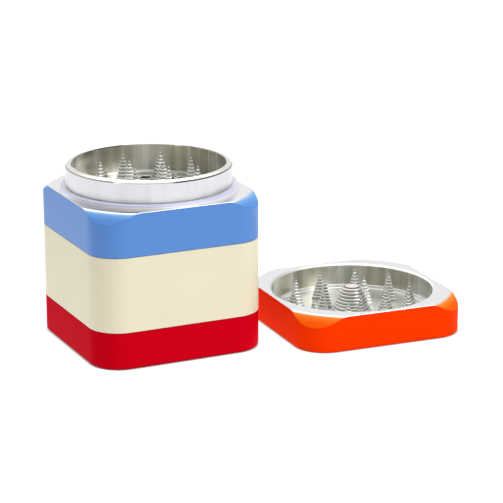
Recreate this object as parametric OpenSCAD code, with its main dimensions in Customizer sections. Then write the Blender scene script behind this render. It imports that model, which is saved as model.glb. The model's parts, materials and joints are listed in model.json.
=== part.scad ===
// Square four-section herb and spice grinder, standing open.
// The catcher, storage and chamber sections are screwed together in a stack.
// The lid lies upside down beside them, as it does while the chamber is filled.
// Origin: centre of the catcher's underside. +Z is up. Millimetres.

/* [Outside] */
// Width across the flats of every section
body_w = 60; // [58:0.5:64]
// Radius of the upright corners
corner_r = 10.6; // [8:0.2:11.5]
// Height of the catcher's coloured wall
catcher_h = 12.5; // [11:0.5:18]
// Height of the storage section's coloured wall
storage_h = 25.2; // [20:0.2:36]
// Height of the chamber's coloured wall
chamber_h = 14.6; // [14:0.2:18]
// Height of the lid from its outer face to its rim
lid_h = 12.2; // [11.6:0.2:15]
// Radius of the rounded edge round the catcher's underside
foot_edge_r = 1.2; // [0.4:0.1:2]
// Radius of the rounded edge round the lid's outer face
lid_edge_r = 0.8; // [0.4:0.1:2]
// Radius at which a turned end face starts to slope down at 45 degrees
face_r = 34.5; // [34:0.1:36]

/* [Neck and lid bore] */
// Outer radius of the plain neck that the lid turns on
neck_r = 27.9; // [27.5:0.1:28.2]
// Wall of the neck
neck_wall = 2.2; // [1.6:0.1:3]
// Height of the neck above the chamber's top face
neck_h = 8.7; // [6.5:0.1:9]
// Bevel round the neck's rim
neck_bevel = 0.4; // [0.2:0.1:0.8]
// Fall of the neck's rim from its inner edge to the bevel
rim_fall = 0.5; // [0:0.1:0.8]
// Radial clearance of the lid's bore on the neck
lid_clearance = 0.1; // [0.05:0.01:0.1]
// Bevel round the mouth of the lid's bore
mouth_bevel = 0.6; // [0.3:0.1:1]
// Thickness of the polymer ring that the lid turns on
ring_t = 1.3; // [0.8:0.1:1.6]
// Outer radius of the polymer ring
ring_r = 29.8; // [29:0.1:30]
// Depth of the groove at the neck's foot that holds the ring
groove_depth = 0.3; // [0.2:0.1:0.5]

/* [Floors] */
// Thickness of the lid's top plate
lid_plate = 2.75; // [2.5:0.05:3]
// Thickness of the chamber's perforated floor
floor_t = 3.2; // [2.5:0.1:4]
// Height of the chamber's floor above its coloured wall's lower edge
floor_rise = 12.6; // [12:0.1:12.8]
// Thickness of the catcher's floor
catcher_floor = 2.5; // [2:0.1:4]
// Width of the small ledge round a toothed floor
ledge = 1; // [0.6:0.1:1.4]
// Height of the ledge round the chamber's floor
chamber_ledge_h = 1.4; // [0.6:0.1:2]
// Height of the ledge round the lid's floor
lid_ledge_h = 1.9; // [0.6:0.1:2]

/* [Threads] */
// Outer radius of the threaded necks
thread_r = 26; // [25:0.1:26.4]
// Radial clearance of a threaded neck in its skirt
thread_clearance = 0.1; // [0.05:0.01:0.1]
// Wall of the threaded necks
thread_wall = 2.5; // [2:0.1:3.5]
// Height of the threaded necks
thread_h = 6; // [4.5:0.5:6]
// Gap that shows at the seam between two sections
seam = 0.1; // [0.05:0.01:0.2]

/* [Teeth] */
// Height of one terrace of a chamber tooth
chamber_terrace_h = 1.1; // [0.8:0.05:1.2]
// Height of one terrace of a lid tooth
lid_terrace_h = 1.05; // [0.8:0.05:1.1]
// Number of terraces on a chamber tooth
chamber_terraces = 9; // [6:1:9]
// Number of terraces on a lid tooth
lid_terraces = 9; // [6:1:9]
// Half width of a tooth's base, towards the centre
tooth_in = 3; // [2:0.1:3.2]
// Half width of a tooth's base, along its circle
tooth_along = 3.4; // [2.4:0.1:3.6]
// Number of teeth on the chamber's outer circle
chamber_outer_n = 8; // [6:1:8]
// Number of teeth on the chamber's inner circle
chamber_inner_n = 4; // [3:1:4]
// Number of teeth on the lid's outer circle
lid_outer_n = 10; // [8:1:10]
// Number of teeth on the lid's inner circle
lid_inner_n = 5; // [4:1:5]

/* [Floor holes] */
// Radius of the holes that let ground material fall
hole_r = 1.9; // [1.4:0.1:1.9]
// Radius of the smaller holes between the circles of teeth
small_hole_r = 1.4; // [1:0.1:1.5]

/* [Lid at rest] */
// Sideways place of the lid's centre
lid_x = 69.4; // [69:0.1:90]
// Forward place of the lid's centre
lid_y = -14.6; // [-20:0.1:0]
// Turn of the lid about its own axis
lid_turn = -2.8; // [-5:0.1:5]

/* [Hidden] */
$fn = 96;

// heights of the seams and faces
storage_z = catcher_h + seam;
chamber_seam_z = catcher_h + storage_h;
chamber_z = chamber_seam_z + seam;
top_z = chamber_seam_z + chamber_h;
neck_top_z = top_z + neck_h;
floor_z = chamber_seam_z + floor_rise;

// turned cutters reach past the corners
reach_r = 40;
eps = 0.02;

// the storage section's web, with the screen on it
skirt_gap = 0.4;
web_z = catcher_h + thread_h + skirt_gap;
web_t = 2;
web_open_r = 21;
screen_fit = 0.1;
screen_t = 0.4;
screen_lift = 0.05;
screen_z = web_z + web_t + screen_lift;
clamp_t = 1.5;
clamp_w = 2.2;
thread_bore_r = thread_r + thread_clearance;
thread_inner_r = thread_r - thread_wall;
thread_bevel = 0.5;

// the catcher's bowl has a rounded corner round its floor
bowl_corner_r = 4;

// the perforated floor and the bore it closes
floor_r = 24;

// the groove at the neck's foot, a little higher than the ring in it
groove_gap = 0.1;

// magnets
magnet_r = 2.6;
magnet_t = 2;
magnet_fit = 0.05;
magnet_proud = 0.3;

// circles of teeth and holes
chamber_outer_r = 16.7;
chamber_inner_r = 8;
chamber_outer_a = 9;
chamber_inner_a = 32;
lid_outer_r = 20.8;
lid_inner_r = 11.9;
lid_outer_a = 25.8;
lid_inner_a = 43.8;
hole_circle_r = 21.5;
hole_n = 12;
hole_a = 11;
small_hole_circle_r = 12.35;
small_hole_a = chamber_outer_a + 180 / chamber_outer_n;

// the lid's centre post
post_tip_r = 3.7;
post_base_r = 7;
post_terraces = 9;
bore_r = neck_r + lid_clearance;

// ---- shapes that repeat ----

// outline from the axis out to r, with the lower outer corner rounded
module edge_profile(r, z0, z1, edge) {
    translate([0, z0 + edge]) square([r, z1 - z0 - edge]);
    translate([0, z0]) square([r - edge, edge + eps]);
    translate([r - edge, z0 + edge]) circle(edge);
}

// block with rounded upright corners and a rounded lower edge
module square_block(z0, z1, edge) {
    flat = body_w - 2 * corner_r;
    for (turn = [0, 90])
        rotate([0, 0, turn])
            translate([flat / 2, 0, 0])
                rotate([90, 0, -90])
                    linear_extrude(flat)
                        for (side = [0, 1])
                            mirror([side, 0]) edge_profile(body_w / 2, z0, z1, edge);
    for (x = [-1, 1], y = [-1, 1])
        translate([x * flat / 2, y * flat / 2, 0])
            rotate_extrude() edge_profile(corner_r, z0, z1, edge);
}

// block with rounded upright corners and sharp ends
module plain_block(z0, z1) {
    flat = body_w - 2 * corner_r;
    translate([0, 0, z0])
        linear_extrude(z1 - z0) {
            square([body_w, flat], center = true);
            square([flat, body_w], center = true);
            for (x = [-1, 1], y = [-1, 1])
                translate([x * flat / 2, y * flat / 2]) circle(corner_r);
        }
}

// what a turned end face at height z leaves: flat to face_r, then 45 degrees down
module turned_face(z) {
    rotate_extrude()
        polygon([[0, 0], [reach_r, 0], [reach_r, z - (reach_r - face_r)], [face_r, z], [0, z]]);
}

module disc(r, z0, z1) {
    translate([0, 0, z0]) cylinder(r = r, h = z1 - z0);
}

// tube with a bevel round the outside of its upper end, which may fall from its inner edge
module neck_tube(r, inner, z0, z1, bevel, fall = 0) {
    edge_z = z1 - fall;
    rotate_extrude()
        polygon([[inner, z0], [r, z0], [r, edge_z - bevel], [r - bevel, edge_z], [inner, z1]]);
}

// one tooth: a stack of diamonds that shrink to a point
module tooth(terraces, step) {
    for (i = [0 : terraces - 1]) {
        share = (terraces - i) / terraces;
        a = tooth_in * share;
        b = tooth_along * share;
        translate([0, 0, i * step])
            linear_extrude(step)
                polygon([[a, 0], [0, b], [-a, 0], [0, -b]]);
    }
}

module chamber_teeth(n, r, first) {
    for (i = [0 : n - 1])
        rotate([0, 0, first + i * 360 / n])
            translate([r, 0, floor_z]) tooth(chamber_terraces, chamber_terrace_h);
}

module lid_teeth(n, r, first) {
    for (i = [0 : n - 1])
        rotate([0, 0, first + i * 360 / n])
            translate([r, 0, lid_plate]) tooth(lid_terraces, lid_terrace_h);
}

module hole_circle(n, r, first, radius) {
    for (i = [0 : n - 1])
        rotate([0, 0, first + i * 360 / n])
            translate([r, 0, 0]) disc(radius, chamber_z, top_z);
}

module at_lid() {
    translate([lid_x, lid_y, 0]) rotate([0, 0, lid_turn]) children();
}

// ---- catcher ----

module catcher_body() {
    bowl_z = catcher_floor;
    rim_z = catcher_h + thread_h;
    color([0.78, 0.02, 0.12])
        difference() {
            union() {
                square_block(0, catcher_h, foot_edge_r);
                neck_tube(thread_r, thread_inner_r - eps, catcher_h - 1, rim_z, thread_bevel);
            }
            disc(thread_inner_r, bowl_z + bowl_corner_r, rim_z + 1);
            disc(thread_inner_r - bowl_corner_r, bowl_z, bowl_z + bowl_corner_r + eps);
            translate([0, 0, bowl_z + bowl_corner_r])
                rotate_extrude()
                    translate([thread_inner_r - bowl_corner_r, 0]) circle(bowl_corner_r);
        }
}

// ---- storage section and its screen ----

module storage_body() {
    rim_z = chamber_seam_z + thread_h;
    color([0.91, 0.89, 0.79])
        difference() {
            union() {
                plain_block(storage_z, chamber_seam_z);
                neck_tube(thread_r, thread_inner_r - eps, chamber_seam_z - 1, rim_z, thread_bevel);
            }
            disc(thread_bore_r, storage_z - 1, web_z);
            disc(web_open_r, web_z - 1, web_z + web_t + 1);
            disc(thread_inner_r, web_z + web_t, rim_z + 1);
        }
}

module screen_mesh() {
    color([0.72, 0.73, 0.74])
        disc(thread_inner_r - screen_fit, screen_z, screen_z + screen_t);
}

module screen_ring() {
    z = screen_z + screen_t;
    r = thread_inner_r - screen_fit;
    color([0.8, 0.81, 0.82])
        neck_tube(r, r - clamp_w, z, z + clamp_t, thread_bevel / 2);
}

// ---- chamber ----

module chamber_body() {
    wall_r = neck_r - neck_wall;
    foot_r = neck_r - groove_depth;
    groove_z = top_z + ring_t + groove_gap;
    color([0.38, 0.57, 0.85])
        difference() {
            union() {
                intersection() {
                    plain_block(chamber_z, top_z);
                    turned_face(top_z);
                }
                neck_tube(foot_r, wall_r, top_z - 1, groove_z + eps, 0);
                neck_tube(neck_r, wall_r, groove_z, neck_top_z, neck_bevel, rim_fall);
            }
            disc(thread_bore_r, chamber_z - 1, chamber_seam_z + thread_h + skirt_gap);
            disc(floor_r, chamber_z, neck_top_z);
            disc(wall_r - ledge, floor_z, neck_top_z);
            disc(wall_r, floor_z + chamber_ledge_h, neck_top_z + 1);
        }
}

// perforated floor with a pocket for the magnet
module chamber_floor() {
    color([0.8, 0.81, 0.8])
        difference() {
            disc(floor_r, floor_z - floor_t, floor_z);
            hole_circle(hole_n, hole_circle_r, hole_a, hole_r);
            hole_circle(chamber_outer_n, small_hole_circle_r, small_hole_a, small_hole_r);
            disc(magnet_r + magnet_fit, floor_z - magnet_t - magnet_fit, floor_z + 1);
        }
}

module chamber_outer_teeth() {
    color([0.8, 0.81, 0.8])
        chamber_teeth(chamber_outer_n, chamber_outer_r, chamber_outer_a);
}

module chamber_inner_teeth() {
    color([0.8, 0.81, 0.8])
        chamber_teeth(chamber_inner_n, chamber_inner_r, chamber_inner_a);
}

module chamber_magnet() {
    color([0.75, 0.75, 0.77]) disc(magnet_r, floor_z - magnet_t, floor_z);
}

// polymer ring round the foot of the neck, with a low lip on its inner side
module neck_ring() {
    inner = neck_r - groove_depth + eps;
    lip_w = 0.9;
    lip_h = 0.25;
    color([0.82, 0.8, 0.98])
        rotate_extrude()
            polygon([[inner, top_z], [ring_r, top_z], [ring_r, top_z + ring_t - lip_h],
                [ring_r - lip_h, top_z + ring_t], [inner + lip_w, top_z + ring_t],
                [inner + lip_w, top_z + ring_t - lip_h], [inner, top_z + ring_t - lip_h]]);
}

// ---- lid, upside down ----

module lid_body() {
    color([1, 0.27, 0])
        at_lid()
            difference() {
                intersection() {
                    square_block(0, lid_h, lid_edge_r);
                    turned_face(lid_h);
                }
                disc(bore_r, lid_plate + lid_ledge_h, lid_h + 1);
                disc(bore_r - ledge, lid_plate, lid_h);
                translate([0, 0, lid_h - mouth_bevel])
                    cylinder(r1 = bore_r, r2 = bore_r + 2 * mouth_bevel, h = 2 * mouth_bevel);
            }
}

module lid_outer_teeth() {
    color([0.8, 0.81, 0.8])
        at_lid() lid_teeth(lid_outer_n, lid_outer_r, lid_outer_a);
}

module lid_inner_teeth() {
    color([0.8, 0.81, 0.8])
        at_lid() lid_teeth(lid_inner_n, lid_inner_r, lid_inner_a);
}

// terraced post with a pocket for the magnet in its tip
module lid_post() {
    step = (lid_h - lid_plate) / post_terraces;
    shrink = (post_base_r - post_tip_r) / (post_terraces - 1);
    stairs = [for (i = [0 : post_terraces - 1], end = [0, 1])
        [post_base_r - i * shrink, lid_plate + (i + end) * step]];
    color([0.8, 0.81, 0.8])
        at_lid()
            difference() {
                rotate_extrude() polygon(concat([[0, lid_plate]], stairs, [[0, lid_h]]));
                disc(magnet_r + magnet_fit, lid_h + magnet_proud - magnet_t - magnet_fit, lid_h + 1);
            }
}

module lid_magnet() {
    color([0.75, 0.75, 0.77])
        at_lid() disc(magnet_r, lid_h + magnet_proud - magnet_t, lid_h + magnet_proud);
}

catcher_body();
screen_mesh();
screen_ring();
storage_body();
chamber_body();
chamber_floor();
chamber_outer_teeth();
chamber_inner_teeth();
chamber_magnet();
neck_ring();
lid_body();
lid_outer_teeth();
lid_inner_teeth();
lid_post();
lid_magnet();
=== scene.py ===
"""Looks of the square four-section grinder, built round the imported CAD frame.

Lengths are millimetres and are scaled to metres when a vertex is made. Each turned piece
is a skin of rows. A row holds one point for each step round the rounded square outline, so
a round row and a square row always join point to point.
"""

import json
import math

import bmesh
import bpy
from mathutils import Matrix, Vector


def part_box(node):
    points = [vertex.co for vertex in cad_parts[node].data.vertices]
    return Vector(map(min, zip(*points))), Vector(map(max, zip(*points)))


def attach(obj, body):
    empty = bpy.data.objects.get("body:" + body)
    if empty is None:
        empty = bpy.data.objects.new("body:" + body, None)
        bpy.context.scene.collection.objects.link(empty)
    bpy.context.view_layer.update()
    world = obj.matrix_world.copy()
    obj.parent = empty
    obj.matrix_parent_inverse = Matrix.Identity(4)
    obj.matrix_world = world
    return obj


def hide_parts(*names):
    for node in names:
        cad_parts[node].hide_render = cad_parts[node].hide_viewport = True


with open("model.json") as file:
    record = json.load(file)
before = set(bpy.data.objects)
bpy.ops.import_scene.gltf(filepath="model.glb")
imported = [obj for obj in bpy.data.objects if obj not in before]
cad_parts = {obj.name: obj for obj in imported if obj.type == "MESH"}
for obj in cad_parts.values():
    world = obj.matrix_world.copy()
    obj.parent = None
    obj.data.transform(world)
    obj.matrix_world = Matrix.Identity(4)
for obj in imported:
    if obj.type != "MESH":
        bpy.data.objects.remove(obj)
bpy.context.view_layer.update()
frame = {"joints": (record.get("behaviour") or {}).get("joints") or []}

MM = 0.001
SEAM = 0.1              # gap between two sections


# ---- sizes read from the frame ----

def low(node):
    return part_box(node)[0] / MM


def high(node):
    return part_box(node)[1] / MM


HALF = high("storage_body").x               # half of the square's width
STORAGE_Z = low("storage_body").z           # foot of the storage section
CATCHER_TOP = STORAGE_Z - SEAM              # top of the red wall
CATCHER_RIM = high("catcher_body").z        # top of the catcher's threaded neck
CHAMBER_Z = low("chamber_body").z           # foot of the chamber
STORAGE_TOP = CHAMBER_Z - SEAM              # top of the cream wall
STORAGE_RIM = high("storage_body").z        # top of the storage section's threaded neck
CHAMBER_TOP = low("neck_ring").z            # top face of the chamber
NECK_TOP = high("chamber_body").z           # rim of the plain neck
FLOOR_Z = high("chamber_floor").z           # perforated floor of the chamber
FLOOR_UNDER = low("chamber_floor").z
TOOTH_TOP = high("chamber_outer_teeth").z
RING_R = high("neck_ring").x                # polymer ring round the neck
RING_TOP = high("neck_ring").z
SCREEN_Z = low("screen_mesh").z
SCREEN_TOP = high("screen_mesh").z
SCREEN_R = high("screen_mesh").x
CLAMP_TOP = high("screen_ring").z
LID_TOP = high("lid_body").z                # rim of the lid, which lies upside down
LID_FLOOR = low("lid_post").z
POST_R = (high("lid_post").x - low("lid_post").x) / 2
MAGNET_R = high("chamber_magnet").x
MAGNET_T = high("chamber_magnet").z - low("chamber_magnet").z
LID_MAGNET_TOP = high("lid_magnet").z

# ---- sizes that no box shows ----

CORNER_R = 10.6         # upright corners
NECK_R = 27.9           # plain neck of the chamber
NECK_WALL = 2.2
BORE_R = 28.0           # bore of the lid
FACE_R = 34.5           # where a turned end face starts to slope down at 45 degrees
FACE_BLEND = 1.0        # half width of the rounding where that slope starts
FOOT_EDGE = 1.2         # rounding under the catcher
LID_EDGE = 0.8          # rounding round the lid's outer face
LIP = 0.16              # softened edge of a coated wall
THREAD_R = 26.0         # crest of the threaded necks
THREAD_WALL = 2.5
THREAD_GAP = 0.1        # a skirt's thread clears the neck's by this
THREAD_INNER_R = THREAD_R - THREAD_WALL
SKIRT_R = THREAD_R + THREAD_GAP
SKIRT_EDGE = 0.3        # softened foot of a skirt's bore
ROOT_H = 0.3            # undercut at the foot of a threaded neck
FINE_EDGE = 0.2         # softened inner edge of a threaded neck and of the web
THREAD_DEPTH = 0.5
THREAD_BEVEL = 0.5      # bevel at the rim of a threaded neck
THREAD_START = 0.5      # plain stretch at each end of a thread
THREAD_ROWS = 8         # rows in one turn of a thread
PITCH = 1.5
WEB_OPEN_R = 21.0       # window in the storage section's web
WEB_T = 2.0
SKIRT_GAP = 0.4         # room above a threaded neck, inside the section that it carries
WIRE_GAP = 1.2          # spacing of the screen's wires
WIRE_SIDES = 6
CLAMP_W = 2.2           # width of the ring that holds the screen
CLAMP_EDGE = 0.3
BOWL_CORNER = 4.0       # rounding round the foot of the catcher's bowl
CATCHER_FLOOR = 2.5     # thickness of the catcher's floor
RELIEF_R = 24.0         # hollow under the chamber's floor
LEDGE = 1.0             # width of the ledge round a toothed floor
CHAMBER_LEDGE = 1.4     # its height in the chamber
LID_LEDGE = 1.9         # its height in the lid
GROOVE_DEPTH = 0.12     # groove at the neck's foot, which holds the polymer ring
GROOVE_GAP = 0.03       # how far the groove reaches above the ring
GROOVE_EDGE = 0.1       # softened edge of that groove
RING_GAP = 0.02         # clearance of the ring in that groove
RING_EDGE = 0.35        # rounding of the ring's outer edge
RING_GROOVES = (RING_R - 0.75, RING_R - 1.45)   # fine grooves in the ring's top
RING_GROOVE_DEPTH = 0.15
RIM_BEVEL = 0.4         # bevel round the neck's rim
RIM_FALL = 0.5          # fall of the neck's rim from its inner edge to the bevel
INNER_BEVEL = 0.26      # bevel at the rim's inner edge
EDGE = 0.15             # softened edge of a ledge, a hole or a magnet's pocket
MAGNET_GAP = 0.05       # clearance of a magnet in its pocket
MOUTH_BEVEL = 0.6       # bevel at the mouth of the lid's bore
LID_TURN = math.radians(-2.8)       # how far the lid lies turned
BACK_EDGE = 0.15        # rounding of a magnet's hidden edge
FRONT_EDGE = 0.25       # rounding of its other edge

TERRACES = 9            # steps of a tooth and of the post
SOFT = 0.26             # rounding of a step's upper edge
STEP_CUT = 0.05         # undercut at a step's foot
STEP_CUT_H = 0.12       # its height
NIP = 0.12              # rounding of a tooth's four upright edges
TOOTH_IN = 3.0          # half width of a tooth's base towards the centre
TOOTH_ALONG = 3.4       # half width along its circle
POST_TIP_R = 3.7        # the post's highest step
HOLE_R = 1.9
SMALL_HOLE_R = 1.4

# circles of teeth and holes: radius, count and first angle in degrees
CHAMBER_OUTER = (16.7, 8, 9)
CHAMBER_INNER = (8.0, 4, 32)
LID_OUTER = (20.8, 10, 25.8)
LID_INNER = (11.9, 5, 43.8)
HOLES = (21.5, 12, 11)
SMALL_HOLES = (12.35, 8, 31.5)

SIDE_STEPS = 56         # points along one flat side
CORNER_STEPS = 24       # points round one upright corner
ROUND_STEPS = 4         # rows round a softened edge
BOWL_STEPS = 8          # rows round the bowl's corner
FACE_STEPS = 36         # rows across a turned end face
HOLE_STEPS = 40         # points round a hole
WELD = 0.002            # points nearer to each other than this are joined
SHARP = math.radians(32)    # two faces that meet at more than this stay creased
BORE_REFLECTION_SEED = 4.1         # picks where the painted reflection streaks of the bores fall
DEEP_R = HALF + 7.0     # where a turned face's painted highlight has faded into the coating's full colour


# ---- rows ----

def outline():
    """Points of the rounded square, each with its outward direction."""
    flat = HALF - CORNER_R
    points = []
    for quarter in range(4):
        turn = Matrix.Rotation(quarter * math.pi / 2, 2)
        for i in range(SIDE_STEPS):
            y = flat * (2 * i / SIDE_STEPS - 1)
            points.append((turn @ Vector((HALF, y)), turn @ Vector((1, 0))))
        for i in range(CORNER_STEPS):
            angle = math.pi / 2 * i / CORNER_STEPS
            out = Vector((math.cos(angle), math.sin(angle)))
            centre = Vector((flat, flat))
            points.append((turn @ (centre + CORNER_R * out), turn @ out))
    return points


OUTLINE = outline()
ANGLES = [math.atan2(p.y, p.x) for p, out in OUTLINE]


def circle(r, z):
    return [(r * math.cos(a), r * math.sin(a), z) for a in ANGLES]


def square(inset, z):
    rows = [p - inset * out for p, out in OUTLINE]
    return [(p.x, p.y, z) for p in rows]


def face_drop(r):
    """How far a turned end face has dropped at radius r."""
    past = r - (FACE_R - FACE_BLEND)
    if past <= 0:
        return 0
    if past < 2 * FACE_BLEND:
        return past * past / (4 * FACE_BLEND)
    return past - FACE_BLEND


def turned_face(inner_r, top):
    """Rows of a turned end face, from the lip of the wall in to a circle."""
    rows = []
    for step in range(FACE_STEPS + 1):
        share = step / FACE_STEPS
        row = []
        for (p, out), angle in zip(OUTLINE, ANGLES):
            outer = p - LIP * out
            inner = Vector((inner_r * math.cos(angle), inner_r * math.sin(angle)))
            q = outer.lerp(inner, share)
            row.append((q.x, q.y, top - face_drop(q.length)))
        rows.append(row)
    return rows


def turned_lip(top):
    """Rows that round the edge from a wall up to a turned end face."""
    rows = []
    for step in range(ROUND_STEPS + 1):
        angle = math.pi / 2 * step / ROUND_STEPS
        inset = LIP * (1 - math.cos(angle))
        row = []
        for p, out in OUTLINE:
            q = p - inset * out
            drop = face_drop(q.length) + LIP * (1 - math.sin(angle))
            row.append((q.x, q.y, top - drop))
        rows.append(row)
    return rows


def square_edge(radius, z, lower):
    """Rows that round the edge between a wall and an end face at height z."""
    rows = []
    for step in range(ROUND_STEPS + 1):
        angle = math.pi / 2 * step / ROUND_STEPS
        rise = radius * (1 - math.sin(angle))
        rows.append(square(radius * (1 - math.cos(angle)), z + rise if lower else z - rise))
    return rows


def round_edge(r, z, radius, outward, upward, steps=3):
    """Rows round the corner of a turned profile, from its upright side to its level side.

    outward and upward are 1 or -1 and say where the corner's material ends."""
    rows = []
    for step in range(steps + 1):
        angle = math.pi / 2 * step / steps
        rows.append(circle(r - outward * radius * (1 - math.cos(angle)),
                           z - upward * radius * (1 - math.sin(angle))))
    return rows


def thread(r, z0, z1, into):
    """Rows of a thread between two heights. into is -1 for a groove cut towards the axis."""
    count = round((z1 - z0) / PITCH * THREAD_ROWS)
    rows = []
    for step in range(count + 1):
        z = z0 + (z1 - z0) * step / count
        fade = min(1, (z - z0) / PITCH, (z1 - z) / PITCH)
        row = []
        for angle in ANGLES:
            turn = (z / PITCH - angle / (2 * math.pi)) % 1
            # flat root and flat crest, with straight flanks between them
            groove = min(1, max(0, 1.6 - abs(turn - 0.5) * 5))
            radius = r + into * THREAD_DEPTH * groove * fade
            row.append((radius * math.cos(angle), radius * math.sin(angle), z))
        rows.append(row)
    return rows


# ---- mesh building ----

def spot(bm, point):
    return bm.verts.new([value * MM for value in point])


def skin(bm, rows, slot=0):
    """Joins each row to the next with a band of faces."""
    loops = [[spot(bm, point) for point in row] for row in rows]
    for lower, upper in zip(loops, loops[1:]):
        for i in range(len(lower)):
            j = (i + 1) % len(lower)
            face = bm.faces.new((lower[i], lower[j], upper[j], upper[i]))
            face.material_index = slot


def cap(bm, row, slot=0):
    bm.faces.new([spot(bm, point) for point in row]).material_index = slot


def plate(bm, rows, slot):
    """Level sheet between an outer row and the rows of its holes."""
    edges = []
    for row in rows:
        loop = [spot(bm, point) for point in row]
        edges += [bm.edges.new((a, b)) for a, b in zip(loop, loop[1:] + loop[:1])]
    made = bmesh.ops.triangle_fill(bm, use_beauty=True, edges=edges)["geom"]
    for face in made:
        if isinstance(face, bmesh.types.BMFace):
            face.material_index = slot


def around(spec):
    """Centre and direction of each member of a circle of teeth or holes."""
    radius, count, first = spec
    for i in range(count):
        angle = math.radians(first + i * 360 / count)
        out = Vector((math.cos(angle), math.sin(angle)))
        yield radius * out, out


def finish_piece(name, bm, materials, body, nodes, place=None):
    """Turns the mesh into a piece that rides on a body and stands for CAD nodes.

    A piece of the lid is given its place, and is turned as the lid is."""
    bmesh.ops.remove_doubles(bm, verts=bm.verts, dist=WELD * MM)
    if place:
        bmesh.ops.rotate(bm, verts=bm.verts, matrix=Matrix.Rotation(LID_TURN, 3, "Z"))
    bmesh.ops.recalc_face_normals(bm, faces=bm.faces)
    for edge in bm.edges:
        slots = {face.material_index for face in edge.link_faces}
        edge.smooth = len(slots) == 1 and edge.calc_face_angle(0) < SHARP
    mesh = bpy.data.meshes.new(name)
    bm.to_mesh(mesh)
    bm.free()
    mesh.polygons.foreach_set("use_smooth", [True] * len(mesh.polygons))
    for material in materials:
        mesh.materials.append(material)
    piece = bpy.data.objects.new(name, mesh)
    bpy.context.scene.collection.objects.link(piece)
    if place:
        piece.location = place
    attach(piece, body)
    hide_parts(*nodes)


# ---- materials ----

def linear(*shades):
    """Linear colour from shades of 0 to 255 as a screen shows them."""
    values = []
    for shade in shades:
        s = shade / 255
        values.append(s / 12.92 if s <= 0.04045 else ((s + 0.055) / 1.055) ** 2.4)
    return (*values, 1)


class Finish:
    """A node material with one Principled shader."""

    def __init__(self, name):
        self.material = bpy.data.materials.new(name)
        self.material.use_nodes = True
        self.tree = self.material.node_tree
        self.shader = self.tree.nodes["Principled BSDF"]

    def node(self, kind, settings=None, **inputs):
        """Node with its inputs set. An input is given by its name, or as i and its number."""
        node = self.tree.nodes.new("ShaderNode" + kind)
        for key, value in (settings or {}).items():
            setattr(node, key, value)
        for key, value in inputs.items():
            name = key.replace("_", " ")
            socket = node.inputs[int(key[1:])] if key[1:].isdigit() else node.inputs[name]
            self.put(socket, value)
        return node

    def put(self, socket, value):
        """Links another node's output to a socket, or gives the socket a constant."""
        if isinstance(value, bpy.types.NodeSocket):
            self.tree.links.new(value, socket)
        else:
            socket.default_value = value

    def set(self, **inputs):
        for key, value in inputs.items():
            self.put(self.shader.inputs[key.replace("_", " ")], value)

    def math(self, operation, a, b=0.0):
        return self.node("Math", {"operation": operation}, i0=a, i1=b).outputs[0]

    def noise(self, scale, vector=None, detail=2.0, rough=0.5):
        node = self.node("TexNoise", Scale=scale, Detail=detail, Roughness=rough)
        self.put(node.inputs["Vector"], vector or self.place())
        return node.outputs["Fac"]

    def place(self):
        return self.node("TexCoord").outputs["Object"]

    def spread(self, value, low, high):
        """Value of 0 to 1 as low to high."""
        return self.node("MapRange", i0=value, i1=0.0, i2=1.0, i3=low, i4=high).outputs[0]

    def ramp(self, value, start, end):
        """Smooth rise from 0 at start to 1 at end."""
        return self.node("MapRange", {"interpolation_type": "SMOOTHSTEP"},
                         i0=value, i1=start, i2=end, i3=0.0, i4=1.0).outputs[0]

    def mix(self, share, a, b):
        """Colour a where the share is 0, and b where it is 1."""
        node = self.node("Mix", {"data_type": "RGBA"}, i0=share)
        self.put(node.inputs[6], a)
        self.put(node.inputs[7], b)
        return node.outputs[2]

    def blend(self, share, a, b):
        """Number a where the share is 0, and b where it is 1."""
        node = self.node("Mix", {"data_type": "FLOAT"}, i0=share, i2=a, i3=b)
        return node.outputs[0]

    def bump(self, height, strength, distance):
        node = self.node("Bump", Strength=strength, Distance=distance * MM, Height=height)
        return node.outputs["Normal"]

    def radius(self):
        """Distance from the axis in millimetres, and height."""
        split = self.node("SeparateXYZ", Vector=self.place())
        x, y, z = split.outputs
        square_sum = self.math("ADD", self.math("MULTIPLY", x, x), self.math("MULTIPLY", y, y))
        r = self.math("MULTIPLY", self.math("SQRT", square_sum), 1 / MM)
        return r, self.math("MULTIPLY", z, 1 / MM)

    def streaks(self, around, seed):
        """Noise that changes only with the angle about the axis."""
        flat = self.node("VectorMath", {"operation": "MULTIPLY"}, i0=self.place(), i1=(1, 1, 0))
        unit = self.node("VectorMath", {"operation": "NORMALIZE"}, i0=flat.outputs[0])
        ring = self.node("VectorMath", {"operation": "SCALE"}, i0=unit.outputs[0], Scale=around)
        own = self.node("VectorMath", {"operation": "ADD"}, i0=ring.outputs[0], i1=(0, 0, seed))
        return self.noise(1.0, own.outputs[0], detail=0.6)

    def stretch(self, amount):
        """Draws reflections out along the axis, as fine upright marks do."""
        tangent = self.node("Tangent", {"direction_type": "RADIAL", "axis": "Z"})
        self.set(Anisotropic=amount, Tangent=tangent.outputs[0])

    def turning(self, per_mm):
        """Concentric tool marks, as noise that changes only with radius and height."""
        r, z = self.radius()
        vector = self.node("CombineXYZ", X=r, Y=z).outputs[0]
        return self.noise(per_mm, vector, detail=3.0, rough=0.6)


def coat_grain(finish):
    """Fine grain and broad cloud of a satin coating, as two noises."""
    grain = finish.noise(2600, detail=2.0)
    cloud = finish.noise(60, detail=3.0)
    return grain, cloud


def coating(name, colour, rough, specular):
    """Satin coating of a wall."""
    finish = Finish(name)
    grain, cloud = coat_grain(finish)
    shade = finish.math("ADD", finish.spread(cloud, -0.03, 0.03), finish.spread(grain, -0.05, 0.05))
    value = finish.math("ADD", shade, 1.0)
    hue = finish.node("HueSaturation", Color=colour, Value=value).outputs[0]
    finish.set(Base_Color=hue, Roughness=finish.spread(grain, rough - 0.06, rough + 0.06),
               Specular_IOR_Level=specular, Normal=finish.bump(grain, 0.25, 0.02))
    return finish.material


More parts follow.
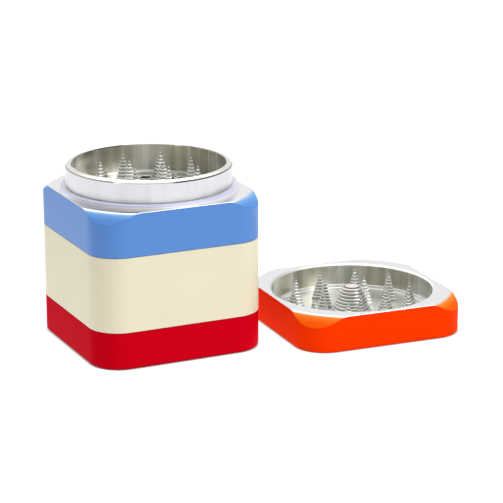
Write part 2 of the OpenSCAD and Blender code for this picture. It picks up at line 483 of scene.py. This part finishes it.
def bare_metal(name, colour, rough, marks, depth):
    """Turned aluminium with concentric tool marks, marks to a millimetre."""
    finish = Finish(name)
    turned = finish.turning(marks)
    shade = finish.spread(turned, 0.95, 1.05)
    hue = finish.node("HueSaturation", Color=colour, Value=shade).outputs[0]
    finish.set(Base_Color=hue, Metallic=1.0,
               Roughness=finish.spread(turned, rough - 0.04, rough + 0.04),
               Normal=finish.bump(turned, 0.2, depth))
    return finish.material


def bore_reflection_finish():
    """Smooth turned bore with painted reflections: upright dark olive and bright streaks, by angle
    about the axis, painted into its colour.
    """
    finish = Finish("bore_metal")
    broad = finish.ramp(finish.streaks(2.6, BORE_REFLECTION_SEED), 0.36, 0.64)
    fine = finish.ramp(finish.streaks(11, BORE_REFLECTION_SEED), 0.3, 0.7)
    turned = finish.turning(1.6)
    # painted reflection: broad and fine streaks from dark olive to near white
    colour = finish.mix(broad, (0.70, 0.69, 0.58, 1), (1.0, 1.0, 0.99, 1))
    value = finish.math("ADD", finish.spread(fine, 0.78, 1.0), finish.spread(turned, -0.03, 0.03))
    hue = finish.node("HueSaturation", Color=colour, Value=value)
    finish.stretch(0.9)
    finish.set(Base_Color=hue.outputs[0], Metallic=1.0, Roughness=finish.spread(fine, 0.22, 0.30),
               Normal=finish.bump(turned, 0.2, 0.001))
    return finish.material


def neck_finish():
    """Satin turned neck with faint upright streaks, and painted shade that makes it greyer towards
    its foot, standing for the reflection of the ring and face.
    """
    finish = Finish("neck_metal")
    streaks = finish.streaks(7, 0.0)
    turned = finish.turning(2.6)
    foot_shade_noise = finish.noise(170, detail=2.0)
    r, z = finish.radius()
    # painted shade: greyer towards the neck's foot, with a ragged upper edge
    foot = finish.ramp(finish.math("ADD", z, finish.spread(foot_shade_noise, 0, 3.0)), RING_TOP + 4.0,
                       RING_TOP + 0.8)
    value = finish.math("ADD", finish.spread(streaks, 0.90, 1.10), finish.spread(turned, -0.03, 0.03))
    colour = finish.mix(foot, (0.69, 0.69, 0.72, 1), (0.54, 0.54, 0.58, 1))
    hue = finish.node("HueSaturation", Color=colour, Value=value)
    finish.stretch(0.5)
    finish.set(Base_Color=hue.outputs[0], Metallic=1.0, Roughness=finish.spread(streaks, 0.28, 0.38),
               Normal=finish.bump(turned, 0.2, 0.004))
    return finish.material


def cut_metal(name, foot, step, rough):
    """Milled steps of bright aluminium with fine tool marks, and painted shade in each step's foot
    that rises to a painted highlight at its upper edge.
    """
    finish = Finish(name + "_metal")
    r, z = finish.radius()
    phase = finish.math("FRACT", finish.math("DIVIDE", finish.math("SUBTRACT", z, foot), step))
    # painted shade at each step's foot, growing to a painted highlight at the step's upper edge
    step_lit = finish.ramp(phase, 0.0, 0.9)
    marks = finish.noise(1800, detail=3.0)
    cloud = finish.noise(160, detail=2.0)
    colour = finish.mix(step_lit, (0.40, 0.40, 0.36, 1), (0.98, 0.98, 0.96, 1))
    hue = finish.node("HueSaturation", Color=colour, Value=finish.spread(cloud, 0.9, 1.08))
    finish.set(Base_Color=hue.outputs[0], Metallic=1.0,
               Roughness=finish.spread(marks, rough - 0.05, rough + 0.05),
               Normal=finish.bump(marks, 0.1, 0.001))
    return finish.material


def half_coated(name, pale, deep, start, end, rough, specular):
    """Turned end face: bare metal up to a start radius, coating past an end radius, pale at first in
    a painted highlight where the slope faces up.
    """
    finish = Finish(name)
    grain, cloud = coat_grain(finish)
    r, z = finish.radius()
    wander = finish.math("ADD", r, finish.spread(cloud, -0.2, 0.2))
    share = finish.ramp(wander, start, end)
    turned = finish.turning(2.2)
    metal_hue = finish.node("HueSaturation", Color=FACE_METAL,
                            Value=finish.spread(turned, 0.95, 1.04))
    # painted highlight: the pale colour fades to the coating's own deep colour by DEEP_R
    colour = finish.mix(finish.ramp(wander, end - 0.5, DEEP_R), pale, deep)
    coat_hue = finish.node("HueSaturation", Color=colour, Value=finish.spread(grain, 0.96, 1.04))
    finish.set(Base_Color=finish.mix(share, metal_hue.outputs[0], coat_hue.outputs[0]),
               Metallic=finish.math("SUBTRACT", 1.0, share),
               Roughness=finish.blend(share, 0.24, rough),
               Specular_IOR_Level=specular,
               Normal=finish.bump(turned, 0.15, 0.004))
    return finish.material


def polymer():
    """Clear violet-tinted ring: pale on top, with a painted deep violet glow where its outer edge
    gathers the light, and painted shade in its grooves.
    """
    finish = Finish("ring_polymer")
    grain = finish.noise(900)
    turned = finish.turning(2.4)
    r, z = finish.radius()
    side = finish.ramp(z, RING_TOP - 0.75, RING_TOP - 0.6)
    # painted glow: deep violet at the outer edge, where the clear polymer gathers the light
    edge = finish.math("MULTIPLY", side, finish.ramp(r, RING_R - 0.55, RING_R - 0.3))
    top = finish.mix(turned, (0.88, 0.88, 0.94, 1), (1.0, 1.0, 1.0, 1))
    upper = finish.mix(edge, top, (0.70, 0.71, 1.0, 1))
    hue = finish.mix(side, (0.95, 0.93, 0.90, 1), upper)
    # painted shade: grey lines in the two grooves of the ring's top
    for groove in RING_GROOVES:
        off = finish.math("ABSOLUTE", finish.math("SUBTRACT", r, groove))
        hue = finish.mix(finish.ramp(off, 0.08, 0.16), (0.58, 0.58, 0.62, 1), hue)
    finish.set(Base_Color=hue, Roughness=finish.spread(grain, 0.2, 0.3), IOR=1.46,
               Normal=finish.bump(turned, 0.2, 0.01))
    return finish.material


def nickel():
    """Plated magnet, with a dark brown line round its edge."""
    finish = Finish("magnet_nickel")
    cloud = finish.noise(700, detail=4.0)
    r, z = finish.radius()
    plating = finish.mix(cloud, (0.74, 0.70, 0.72, 1), (0.96, 0.93, 0.96, 1))
    edge = finish.ramp(r, MAGNET_R - 0.35, MAGNET_R - 0.1)
    hue = finish.mix(edge, plating, (0.30, 0.20, 0.13, 1))
    finish.set(Base_Color=hue, Metallic=1.0, Roughness=finish.spread(cloud, 0.16, 0.34),
               Normal=finish.bump(cloud, 0.2, 0.01))
    return finish.material


def wire_steel():
    """Drawn steel wire of the screen."""
    finish = Finish("wire_steel")
    drawn = finish.noise(1500, detail=3.0)
    hue = finish.mix(drawn, (0.5, 0.5, 0.49, 1), (0.8, 0.8, 0.78, 1))
    finish.set(Base_Color=hue, Metallic=1.0, Roughness=finish.spread(drawn, 0.2, 0.4),
               Normal=finish.bump(drawn, 0.2, 0.01))
    return finish.material


RED = linear(207, 0, 33)
CREAM = linear(233, 226, 200)
BLUE = linear(90, 142, 210)
ORANGE = linear(255, 68, 0)
FACE_METAL = (0.84, 0.84, 0.85, 1)

red_coating = coating("red_coating", RED, 0.5, 0.02)
cream_coating = coating("cream_coating", CREAM, 0.45, 0.4)
blue_coating = coating("blue_coating", BLUE, 0.4, 0.5)
orange_coating = coating("orange_coating", ORANGE, 0.5, 0.02)
# each face's first colour is a painted highlight on its slope, the second the coating's own colour
chamber_face = half_coated("chamber_face", linear(122, 176, 230), linear(92, 146, 218),
                           34.0, 35.4, 0.4, 0.4)
lid_face = half_coated("lid_face", linear(255, 150, 66), linear(255, 104, 16),
                       34.1, 35.0, 0.5, 0.02)
face_metal = bare_metal("face_metal", FACE_METAL, 0.26, 2.2, 0.01)
neck_metal = neck_finish()
bore_metal = bore_reflection_finish()
floor_metal = bare_metal("floor_metal", (0.84, 0.84, 0.81, 1), 0.36, 1.2, 0.002)
# painted reflection: the bevels' dark brownish colour stands for the dark line that the rim's bevels
# mirror
bevel_metal = bare_metal("bevel_metal", (0.50, 0.46, 0.40, 1), 0.10, 1.6, 0.001)
ledge_metal = bare_metal("ledge_metal", (0.97, 0.97, 0.95, 1), 0.5, 1.6, 0.001)
rim_metal = bare_metal("rim_metal", (0.76, 0.76, 0.73, 1), 0.2, 1.6, 0.003)
ring_polymer = polymer()
magnet_nickel = nickel()
screen_steel = wire_steel()


# ---- catcher ----

def thread_neck(bm, z0, z1, slot):
    """Threaded neck on a shoulder at z0, up to its rim at z1 and its inner edge."""
    root = THREAD_R - THREAD_DEPTH
    start = z0 + THREAD_START
    skin(bm, [circle(root, z0), circle(root, z0 + ROOT_H), circle(THREAD_R, start)], slot)
    skin(bm, thread(THREAD_R, start, z1 - THREAD_BEVEL, -1), slot)
    skin(bm, [circle(THREAD_R, z1 - THREAD_BEVEL), circle(THREAD_R - THREAD_BEVEL, z1),
              circle(THREAD_INNER_R + FINE_EDGE, z1), circle(THREAD_INNER_R, z1 - FINE_EDGE)], slot)


def thread_skirt(bm, z0, z1, slot):
    """Threaded bore of a skirt from its foot at z0 to its end at z1."""
    start, end = z0 + THREAD_START, z1 - THREAD_START
    skin(bm, [circle(SKIRT_R + SKIRT_EDGE, z0), circle(SKIRT_R, z0 + SKIRT_EDGE),
              circle(SKIRT_R, start)], slot)
    skin(bm, thread(SKIRT_R, start, end, 1), slot)
    skin(bm, [circle(SKIRT_R, end), circle(SKIRT_R, z1)], slot)


def build_catcher():
    """Cup with a threaded neck and a round-cornered bowl."""
    bm = bmesh.new()
    coat, bare, inside = range(3)
    cap(bm, square(FOOT_EDGE, 0), coat)
    skin(bm, square_edge(FOOT_EDGE, 0, True)[::-1], coat)
    skin(bm, [square(0, FOOT_EDGE), square(0, CATCHER_TOP - LIP)], coat)
    skin(bm, square_edge(LIP, CATCHER_TOP, False), coat)
    skin(bm, [square(LIP, CATCHER_TOP), circle(THREAD_R - THREAD_DEPTH, CATCHER_TOP)], bare)
    thread_neck(bm, CATCHER_TOP, CATCHER_RIM, bare)
    bowl = []
    for step in range(BOWL_STEPS + 1):
        angle = math.pi / 2 * step / BOWL_STEPS
        bowl.append(circle(THREAD_INNER_R - BOWL_CORNER * (1 - math.cos(angle)),
                           CATCHER_FLOOR + BOWL_CORNER * (1 - math.sin(angle))))
    skin(bm, [circle(THREAD_INNER_R, CATCHER_RIM - FINE_EDGE)] + bowl, inside)
    cap(bm, bowl[-1], inside)
    finish_piece("catcher_shell", bm, [red_coating, face_metal, bore_metal], "catcher",
                 ["catcher_body"])


# ---- storage section ----

def build_storage():
    """Tube with a threaded neck, a web that carries the screen, and a threaded skirt."""
    bm = bmesh.new()
    coat, bare, inside = range(3)
    web_z = CATCHER_RIM + SKIRT_GAP
    web_top = web_z + WEB_T
    skin(bm, square_edge(LIP, STORAGE_Z, True)[::-1], coat)
    skin(bm, [square(0, STORAGE_Z + LIP), square(0, STORAGE_TOP - LIP)], coat)
    skin(bm, square_edge(LIP, STORAGE_TOP, False), coat)
    skin(bm, [square(LIP, STORAGE_TOP), circle(THREAD_R - THREAD_DEPTH, STORAGE_TOP)], bare)
    thread_neck(bm, STORAGE_TOP, STORAGE_RIM, bare)
    skin(bm, [circle(THREAD_INNER_R, STORAGE_RIM - FINE_EDGE), circle(THREAD_INNER_R, web_top)],
         inside)
    skin(bm, [circle(THREAD_INNER_R, web_top), circle(WEB_OPEN_R + FINE_EDGE, web_top),
              circle(WEB_OPEN_R, web_top - FINE_EDGE), circle(WEB_OPEN_R, web_z + FINE_EDGE),
              circle(WEB_OPEN_R + FINE_EDGE, web_z), circle(SKIRT_R, web_z)], bare)
    thread_skirt(bm, STORAGE_Z, web_z, bare)
    skin(bm, [circle(SKIRT_R + SKIRT_EDGE, STORAGE_Z), square(LIP, STORAGE_Z)], bare)
    finish_piece("storage_shell", bm, [cream_coating, face_metal, bore_metal], "storage",
                 ["storage_body"])


def build_screen():
    """Woven wire cloth: each wire passes over and under the wires across it."""
    bm = bmesh.new()
    wire_r = (SCREEN_TOP - SCREEN_Z) / 4
    middle = (SCREEN_Z + SCREEN_TOP) / 2
    count = int(SCREEN_R / WIRE_GAP)
    for across in (0, 1):
        for i in range(-count, count + 1):
            side = i * WIRE_GAP
            reach = math.sqrt(SCREEN_R ** 2 - side ** 2) - wire_r
            steps = max(2, round(4 * reach / WIRE_GAP))
            rows = []
            for step in range(steps + 1):
                along = reach * (2 * step / steps - 1)
                sign = 1 if (i + across) % 2 else -1
                z = middle + sign * wire_r * math.cos(math.pi * along / WIRE_GAP)
                ring = []
                for corner in range(WIRE_SIDES):
                    angle = 2 * math.pi / WIRE_SIDES * corner
                    off = side + wire_r * math.cos(angle)
                    up = z + wire_r * math.sin(angle)
                    ring.append((off, along, up) if across else (along, off, up))
                rows.append(ring)
            skin(bm, rows)
            cap(bm, rows[0])
            cap(bm, rows[-1])
    finish_piece("screen_weave", bm, [screen_steel], "screen", ["screen_mesh"])


def build_clamp_ring():
    """Flat ring that holds the screen down on the web."""
    bm = bmesh.new()
    inner = SCREEN_R - CLAMP_W
    rows = [circle(inner, SCREEN_TOP), circle(SCREEN_R, SCREEN_TOP)]
    rows += round_edge(SCREEN_R, CLAMP_TOP, CLAMP_EDGE, 1, 1)
    rows += round_edge(inner, CLAMP_TOP, CLAMP_EDGE, -1, 1)[::-1]
    skin(bm, rows + rows[:1])
    finish_piece("clamp_ring", bm, [face_metal], "screen", ["screen_ring"])


# ---- chamber ----

def hole_row(centre, r, z):
    """Circle of fewer points than circle gives, about any centre."""
    row = []
    for i in range(HOLE_STEPS):
        angle = 2 * math.pi * i / HOLE_STEPS
        row.append((centre.x + r * math.cos(angle), centre.y + r * math.sin(angle), z))
    return row


def build_chamber():
    """Chamber with its plain neck and its perforated floor, which the CAD keeps apart."""
    bm = bmesh.new()
    wall = NECK_R - NECK_WALL
    foot = NECK_R - GROOVE_DEPTH
    groove_z = RING_TOP + GROOVE_GAP
    ledge_z = FLOOR_Z + CHAMBER_LEDGE
    skirt_top = STORAGE_RIM + SKIRT_GAP
    coat, face, neck, bore, rim, floor, bevel, ledge = range(8)
    # outside
    skin(bm, [circle(SKIRT_R + SKIRT_EDGE, CHAMBER_Z), square(LIP, CHAMBER_Z)], neck)
    skin(bm, square_edge(LIP, CHAMBER_Z, True)[::-1], coat)
    lip = turned_lip(CHAMBER_TOP)
    skin(bm, [square(0, CHAMBER_Z + LIP), lip[0]], coat)
    skin(bm, lip, face)
    skin(bm, turned_face(foot, CHAMBER_TOP), face)
    # neck, with the crowned rim
    edge_z = NECK_TOP - RIM_FALL
    bore_top = NECK_TOP - INNER_BEVEL
    skin(bm, [circle(foot, CHAMBER_TOP), circle(foot, groove_z - GROOVE_EDGE),
              circle(NECK_R - GROOVE_EDGE, groove_z), circle(NECK_R, groove_z + GROOVE_EDGE),
              circle(NECK_R, edge_z - RIM_BEVEL)], neck)
    skin(bm, [circle(NECK_R, edge_z - RIM_BEVEL), circle(NECK_R - RIM_BEVEL, edge_z)], bevel)
    # shares of the rim's width from the outside, each with its share of the fall
    crown = []
    for share, drop in ((0, 1), (0.25, 0.62), (0.5, 0.32), (0.75, 0.1), (0.86, 0)):
        r = NECK_R - RIM_BEVEL + (wall - NECK_R + RIM_BEVEL) * share
        crown.append(circle(r, NECK_TOP - RIM_FALL * drop))
    skin(bm, crown, rim)
    skin(bm, [crown[-1], circle(wall, bore_top)], bevel)
    skin(bm, [circle(wall, bore_top), circle(wall, ledge_z)], bore)
    # ledge
    floor_r = wall - LEDGE
    ledge_foot = ledge_z - 3 * EDGE
    skin(bm, [circle(wall, ledge_z), circle(floor_r + EDGE, ledge_z), circle(floor_r, ledge_foot)],
         ledge)
    skin(bm, [circle(floor_r, ledge_foot), circle(floor_r, FLOOR_Z)], floor)
    # floor with its holes and the magnet's pocket
    holes = [(centre, HOLE_R) for centre, out in around(HOLES)]
    holes += [(centre, SMALL_HOLE_R) for centre, out in around(SMALL_HOLES)]
    axis = Vector((0, 0))
    pocket_r = MAGNET_R + MAGNET_GAP
    pocket = hole_row(axis, pocket_r, FLOOR_Z)
    plate(bm, [circle(floor_r, FLOOR_Z), pocket]
          + [hole_row(centre, r + EDGE, FLOOR_Z) for centre, r in holes], floor)
    plate(bm, [circle(RELIEF_R, FLOOR_UNDER)]
          + [hole_row(centre, r + EDGE, FLOOR_UNDER) for centre, r in holes], floor)
    for centre, r in holes:
        skin(bm, [hole_row(centre, r + EDGE, FLOOR_Z), hole_row(centre, r, FLOOR_Z - EDGE),
                  hole_row(centre, r, FLOOR_UNDER + EDGE),
                  hole_row(centre, r + EDGE, FLOOR_UNDER)], bore)
    bottom = hole_row(axis, pocket_r, FLOOR_Z - MAGNET_T - MAGNET_GAP)
    skin(bm, [pocket, bottom], bore)
    cap(bm, bottom, bore)
    # underside and skirt
    skin(bm, [circle(RELIEF_R, FLOOR_UNDER), circle(RELIEF_R, skirt_top),
              circle(SKIRT_R, skirt_top)], bore)
    thread_skirt(bm, CHAMBER_Z, skirt_top, neck)
    finish_piece("chamber_shell", bm,
                 [blue_coating, chamber_face, neck_metal, bore_metal, rim_metal, floor_metal,
                  bevel_metal, ledge_metal],
                 "chamber", ["chamber_body", "chamber_floor"])


def build_neck_ring():
    """Polymer ring with two fine grooves turned in its top."""
    bm = bmesh.new()
    inner = NECK_R - GROOVE_DEPTH + RING_GAP
    low_z = RING_TOP - RING_GROOVE_DEPTH
    half_top, half_foot = 0.13, 0.05
    rows = [circle(inner, CHAMBER_TOP), circle(RING_R, CHAMBER_TOP)]
    rows += round_edge(RING_R, RING_TOP, RING_EDGE, 1, 1, 5)
    for groove in RING_GROOVES:
        rows += [circle(groove + half_top, RING_TOP), circle(groove + half_foot, low_z),
                 circle(groove - half_foot, low_z), circle(groove - half_top, RING_TOP)]
    rows += [circle(inner, RING_TOP)]
    skin(bm, rows + rows[:1])
    finish_piece("neck_ring_polymer", bm, [ring_polymer], "chamber", ["neck_ring"])


# ---- teeth, post and magnets ----

def diamond_row(centre, out, a, b, z):
    """Diamond outline with its four points slightly rounded."""
    along = Vector((-out.y, out.x))
    row = []
    for u, v in ((1, 0), (0, 1), (-1, 0), (0, -1)):
        tip = u * a * out + v * b * along
        before = v * a * out - u * b * along
        after = -v * a * out + u * b * along
        for other in (before, None, after):
            share = min(0.3, NIP / max(0.05, (a + b) / 2))
            q = tip * (1 - share * 0.5) if other is None else tip.lerp(other, share)
            row.append((centre.x + q.x, centre.y + q.y, z))
    return row


def build_teeth(name, spec, z0, z1, body, node, place=None):
    """Circle of teeth, each a stack of diamonds that shrink to a point."""
    bm = bmesh.new()
    step = (z1 - z0) / TERRACES
    for centre, out in around(spec):
        rows = []
        for level in range(TERRACES):
            share = (TERRACES - level) / TERRACES
            a = TOOTH_IN * share
            b = TOOTH_ALONG * share
            foot = z0 + level * step
            top = foot + step
            reach = min(SOFT, 0.6 * a)      # the upper steps are too small for the full rounding
            rows.append(diamond_row(centre, out, a - STEP_CUT, b - STEP_CUT, foot))
            rows.append(diamond_row(centre, out, a, b, foot + STEP_CUT_H))
            for turn in range(ROUND_STEPS + 1):
                angle = math.pi / 2 * turn / ROUND_STEPS
                trim = reach * (1 - math.cos(angle))
                z = top - reach * (1 - math.sin(angle))
                rows.append(diamond_row(centre, out, a - trim, b - trim, z))
        skin(bm, rows)
        cap(bm, rows[0])
        cap(bm, rows[-1])
    finish_piece(name, bm, [cut_metal(name, z0, step, 0.41)], body, [node], place)


def build_post(place):
    """Turned post with rounded steps and a pocket for the magnet in its tip."""
    bm = bmesh.new()
    step = (LID_TOP - LID_FLOOR) / TERRACES
    shrink = (POST_R - POST_TIP_R) / (TERRACES - 1)
    rows = []
    for level in range(TERRACES):
        r = POST_R - level * shrink
        foot = LID_FLOOR + level * step
        rows += [circle(r - STEP_CUT, foot), circle(r, foot + STEP_CUT_H)]
        rows += round_edge(r, foot + step, SOFT, 1, 1, ROUND_STEPS)
    pocket_r = MAGNET_R + MAGNET_GAP
    pocket_z = LID_MAGNET_TOP - MAGNET_T - MAGNET_GAP
    rows += [circle(pocket_r + EDGE, LID_TOP), circle(pocket_r, LID_TOP - EDGE),
             circle(pocket_r, pocket_z)]
    skin(bm, rows)
    cap(bm, rows[0])
    cap(bm, rows[-1])
    finish_piece("lid_post_turned", bm, [cut_metal("post", LID_FLOOR, step, 0.3)], "lid",
                 ["lid_post"], place)


def build_magnet(name, z0, z1, body, node, place=None):
    """Plated disc with rounded edges."""
    bm = bmesh.new()
    rows = round_edge(MAGNET_R, z0, BACK_EDGE, 1, -1)[::-1]
    rows += round_edge(MAGNET_R, z1, FRONT_EDGE, 1, 1, 5)
    rows += [circle(MAGNET_R * share, z1) for share in (0.6, 0.3)]
    skin(bm, rows)
    cap(bm, rows[0])
    cap(bm, rows[-1])
    finish_piece(name, bm, [magnet_nickel], body, [node], place)


# ---- lid ----

def build_lid(place):
    """Lid as it lies, upside down: outer face below, bore and toothed floor above."""
    bm = bmesh.new()
    coat, face, bore, bright, floor = range(5)
    cap(bm, square(LID_EDGE, 0), coat)
    skin(bm, square_edge(LID_EDGE, 0, True)[::-1], coat)
    lip = turned_lip(LID_TOP)
    skin(bm, [square(0, LID_EDGE), lip[0]], coat)
    skin(bm, lip, face)
    mouth = BORE_R + MOUTH_BEVEL
    skin(bm, turned_face(mouth, LID_TOP), face)
    skin(bm, [circle(mouth, LID_TOP), circle(BORE_R, LID_TOP - MOUTH_BEVEL)], bright)
    # the ledge is cut in two steps
    upper = LID_FLOOR + LID_LEDGE
    middle = upper - (LID_TOP - LID_FLOOR) / TERRACES
    half_way = BORE_R - LEDGE / 2
    inner = BORE_R - LEDGE
    skin(bm, [circle(BORE_R, LID_TOP - MOUTH_BEVEL), circle(BORE_R, upper)], bore)
    skin(bm, [circle(BORE_R, upper), circle(half_way + EDGE, upper), circle(half_way, upper - EDGE),
              circle(half_way, middle), circle(inner + EDGE, middle),
              circle(inner, middle - EDGE), circle(inner, LID_FLOOR)], bright)
    cap(bm, circle(inner, LID_FLOOR), floor)
    finish_piece("lid_shell", bm, [orange_coating, lid_face, bore_metal, ledge_metal, floor_metal],
                 "lid", ["lid_body"], place)


def lid_place():
    """Where the lid lies: its turning joint is on its axis."""
    axis = [joint for joint in frame["joints"] if joint["name"] == "lid_turn"][0]["pos_m"]
    return Vector((axis[0], axis[1], 0))


# ---- camera, light and floor ----

CAMERA_AZIMUTH = math.radians(-22.521)
CAMERA_ELEVATION = math.radians(18.363)
CAMERA_AWAY = 719.74            # from the origin
LOOK_YAW = math.radians(25.387)
LOOK_PITCH = math.radians(-16.111)
LOOK_ROLL = math.radians(-0.083)
LENS = 150.72
SENSOR = 36                     # width of its sensor
LIGHT_AWAY = 1.2                # from the origin, in metres
DIM, BRIGHT = 0.15, 0.78        # strength of the world in front and behind
FLOOR_REACH = 4000
CONTACT = 1.0                   # width of the shade round whatever stands on the floor


def add_camera():
    data = bpy.data.cameras.new("camera")
    data.lens = LENS
    data.sensor_width = SENSOR
    data.clip_start = 0.01
    camera = bpy.data.objects.new("camera", data)
    bpy.context.scene.collection.objects.link(camera)
    away = CAMERA_AWAY * MM
    camera.location = (away * math.sin(CAMERA_AZIMUTH) * math.cos(CAMERA_ELEVATION),
                       -away * math.cos(CAMERA_AZIMUTH) * math.cos(CAMERA_ELEVATION),
                       away * math.sin(CAMERA_ELEVATION))
    forward = Vector((math.sin(LOOK_YAW) * math.cos(LOOK_PITCH),
                      math.cos(LOOK_YAW) * math.cos(LOOK_PITCH), math.sin(LOOK_PITCH)))
    right = forward.cross(Vector((0, 0, 1))).normalized()
    up = right.cross(forward)
    level = Matrix((right, up, -forward)).transposed()
    turned = level @ Matrix.Rotation(LOOK_ROLL, 3, "Z")
    camera.rotation_euler = turned.to_euler()
    bpy.context.scene.camera = camera


def add_softbox(name, azimuth, elevation, width, height, power):
    """Area light that faces the stack, with its width and height in metres.

    Azimuth 0 is in front and grows to the right."""
    data = bpy.data.lights.new(name, "AREA")
    data.shape = "RECTANGLE"
    data.size = width
    data.size_y = height
    data.energy = power
    light = bpy.data.objects.new(name, data)
    bpy.context.scene.collection.objects.link(light)
    azimuth, elevation = math.radians(azimuth), math.radians(elevation)
    away = Vector((math.sin(azimuth) * math.cos(elevation),
                   -math.cos(azimuth) * math.cos(elevation), math.sin(elevation)))
    light.location = away * LIGHT_AWAY
    light.rotation_euler = (-away).to_track_quat("-Z", "Y").to_euler()


def add_floor():
    """White paper that glows, with a thin shade where something stands on it."""
    bm = bmesh.new()
    reach = FLOOR_REACH
    corners = [(-reach, -reach, 0), (reach, -reach, 0), (reach, reach, 0), (-reach, reach, 0)]
    bm.faces.new([spot(bm, corner) for corner in corners])
    mesh = bpy.data.meshes.new("floor")
    bm.to_mesh(mesh)
    bm.free()
    floor = bpy.data.objects.new("floor", mesh)
    bpy.context.scene.collection.objects.link(floor)
    finish = Finish("floor_paper")
    fibre = finish.noise(400, detail=3.0)
    near = finish.node("AmbientOcclusion", {"samples": 8}, Distance=CONTACT * MM)
    finish.set(Base_Color=finish.mix(fibre, (0.24, 0.24, 0.24, 1), (0.26, 0.26, 0.26, 1)),
               Roughness=0.9, Specular_IOR_Level=0.1, Emission_Color=(1, 1, 1, 1),
               Emission_Strength=finish.spread(near.outputs["AO"], 0.0, 0.8))
    mesh.materials.append(finish.material)


def add_world():
    """White room: bright behind the object, dimmer overhead, dimmest in front."""
    world = bpy.data.worlds.new("studio")
    bpy.context.scene.world = world
    world.use_nodes = True
    nodes, links = world.node_tree.nodes, world.node_tree.links
    background = nodes["Background"]
    place = nodes.new("ShaderNodeTexCoord")
    towards = nodes.new("ShaderNodeVectorMath")
    towards.operation = "DOT_PRODUCT"
    towards.inputs[1].default_value = (0, 0.95, 0.2)
    ramp = nodes.new("ShaderNodeMapRange")
    ramp.interpolation_type = "SMOOTHSTEP"
    ramp.inputs["From Min"].default_value = -0.1
    ramp.inputs["From Max"].default_value = 0.8
    ramp.inputs["To Min"].default_value = DIM
    ramp.inputs["To Max"].default_value = BRIGHT
    links.new(place.outputs["Generated"], towards.inputs[0])
    links.new(towards.outputs["Value"], ramp.inputs[0])
    links.new(ramp.outputs[0], background.inputs["Strength"])
    background.inputs["Color"].default_value = (1, 1, 1, 1)


def set_scene():
    add_camera()
    add_world()
    add_floor()
    add_softbox("key", 30, 38, 0.8, 0.8, 6.2)
    add_softbox("back", 170, 65, 1.4, 1.2, 4.6)
    add_softbox("top", -45, 76, 1.0, 0.8, 2.4)
    view = bpy.context.scene.view_settings
    view.view_transform = "Standard"
    view.look = "Medium High Contrast"


set_scene()
build_catcher()
build_storage()
build_screen()
build_clamp_ring()
build_chamber()
build_neck_ring()
build_teeth("chamber_outer_teeth_cut", CHAMBER_OUTER, FLOOR_Z, TOOTH_TOP, "chamber",
            "chamber_outer_teeth")
build_teeth("chamber_inner_teeth_cut", CHAMBER_INNER, FLOOR_Z, TOOTH_TOP, "chamber",
            "chamber_inner_teeth")
build_magnet("chamber_magnet_disc", FLOOR_Z - MAGNET_T, FLOOR_Z, "chamber_core", "chamber_magnet")
at_lid = lid_place()
build_lid(at_lid)
build_teeth("lid_outer_teeth_cut", LID_OUTER, LID_FLOOR, LID_TOP, "lid", "lid_outer_teeth", at_lid)
build_teeth("lid_inner_teeth_cut", LID_INNER, LID_FLOOR, LID_TOP, "lid", "lid_inner_teeth", at_lid)
build_post(at_lid)
build_magnet("lid_magnet_disc", LID_MAGNET_TOP - MAGNET_T, LID_MAGNET_TOP, "lid_core",
             "lid_magnet", at_lid)
